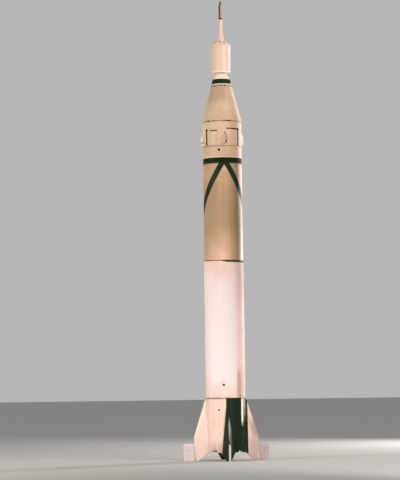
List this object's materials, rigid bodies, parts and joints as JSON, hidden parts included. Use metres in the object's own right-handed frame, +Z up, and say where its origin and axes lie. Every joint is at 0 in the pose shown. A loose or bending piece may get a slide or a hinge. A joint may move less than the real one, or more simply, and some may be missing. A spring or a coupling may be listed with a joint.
{
  "type": "four-stage satellite launch rocket with fins, spinning upper stages and jet vanes",
  "caption": "Slim finned launch rocket with black steering stripes, a tapered nose section, a spinning tub of upper stages and a pencil-thin satellite on top.",
  "frame": {"origin": "on the rocket's long axis, in the plane of the four fins' feet", "axes": "+Z up the long axis to the nose, -Y along fin 1, +X along fin 2"},
  "size_m": [3.92, 3.92, 21.2],
  "materials": {
    "tail_paint": "satin",
    "rudder_paint": "satin",
    "frosted_tank": "matte",
    "buff_paint": "satin",
    "cream_paint": "satin",
    "tub_paint": "satin",
    "black_paint": "satin",
    "joint_metal": "matte",
    "bare_steel": "brushed",
    "hot_steel": "matte",
    "striped_steel": "satin",
    "carbon": "matte"
  },
  "bodies": {
    "airframe": {"tail_shell": "tail_paint", "base_plate": "bare_steel", "engine_nozzle": "hot_steel", "engine_block": "bare_steel", "fin_1": "black_paint", "fin_2": "tail_paint", "fin_3": "black_paint", "fin_4": "tail_paint", "vane_bracket_1": "bare_steel", "vane_bracket_2": "bare_steel", "vane_bracket_3": "bare_steel", "vane_bracket_4": "bare_steel", "jet_fairing_1": "cream_paint", "jet_fairing_2": "cream_paint", "jet_fairing_3": "cream_paint", "jet_fairing_4": "cream_paint", "tail_joint_ring": "joint_metal", "lower_tank": "frosted_tank", "vent_port": "hot_steel", "fill_cap": "frosted_tank", "tank_joint_ring": "joint_metal", "upper_tank": "buff_paint", "separation_ring": "black_paint", "instrument_base": "cream_paint", "instrument_section": "cream_paint", "access_door_1": "cream_paint", "access_door_2": "cream_paint", "access_door_3": "cream_paint", "access_door_4": "cream_paint", "nose_section": "cream_paint", "nose_adapter": "black_paint", "bearing_housing": "tub_paint"},
    "upper_stages": {"tub": "tub_paint", "tub_flange": "tub_paint", "tub_cover": "tub_paint", "support_cone": "tub_paint", "motor_case": "tub_paint", "antenna_gap": "hot_steel", "instrument_tube": "striped_steel", "nose_cone": "tub_paint"},
    "rudder_blade_1": {"rudder_1": "rudder_paint"},
    "rudder_blade_2": {"rudder_2": "rudder_paint"},
    "rudder_blade_3": {"rudder_3": "rudder_paint"},
    "rudder_blade_4": {"rudder_4": "rudder_paint"},
    "vane_blade_1": {"jet_vane_1": "carbon"},
    "vane_blade_2": {"jet_vane_2": "carbon"},
    "vane_blade_3": {"jet_vane_3": "carbon"},
    "vane_blade_4": {"jet_vane_4": "carbon"}
  },
  "joints": [
    {"name": "tub_spin", "type": "hinge", "parent": "airframe", "child": "upper_stages", "pos_m": [0, 0, 17.808], "axis": [0, 0, 1], "continuous": true},
    {"name": "rudder_turn_1", "type": "hinge", "parent": "airframe", "child": "rudder_blade_1", "pos_m": [0, -1.4, 0.485], "axis": [0, -1, 0], "range_deg": [-25, 25]},
    {"name": "rudder_turn_2", "type": "hinge", "parent": "airframe", "child": "rudder_blade_2", "pos_m": [1.4, 0, 0.485], "axis": [1, 0, 0], "range_deg": [-25, 25]},
    {"name": "rudder_turn_3", "type": "hinge", "parent": "airframe", "child": "rudder_blade_3", "pos_m": [0, 1.4, 0.485], "axis": [0, 1, 0], "range_deg": [-25, 25]},
    {"name": "rudder_turn_4", "type": "hinge", "parent": "airframe", "child": "rudder_blade_4", "pos_m": [-1.4, 0, 0.485], "axis": [-1, 0, 0], "range_deg": [-25, 25]},
    {"name": "vane_turn_1", "type": "hinge", "parent": "airframe", "child": "vane_blade_1", "pos_m": [0, -0.5, 0.485], "axis": [0, -1, 0], "range_deg": [-25, 25]},
    {"name": "vane_turn_2", "type": "hinge", "parent": "airframe", "child": "vane_blade_2", "pos_m": [0.5, 0, 0.485], "axis": [1, 0, 0], "range_deg": [-25, 25]},
    {"name": "vane_turn_3", "type": "hinge", "parent": "airframe", "child": "vane_blade_3", "pos_m": [0, 0.5, 0.485], "axis": [0, 1, 0], "range_deg": [-25, 25]},
    {"name": "vane_turn_4", "type": "hinge", "parent": "airframe", "child": "vane_blade_4", "pos_m": [-0.5, 0, 0.485], "axis": [-1, 0, 0], "range_deg": [-25, 25]}
  ],
  "couplings": [
    {"joint": "vane_turn_1", "follows": "rudder_turn_1", "ratio": 1},
    {"joint": "vane_turn_2", "follows": "rudder_turn_2", "ratio": 1},
    {"joint": "vane_turn_3", "follows": "rudder_turn_3", "ratio": 1},
    {"joint": "vane_turn_4", "follows": "rudder_turn_4", "ratio": 1}
  ]
}
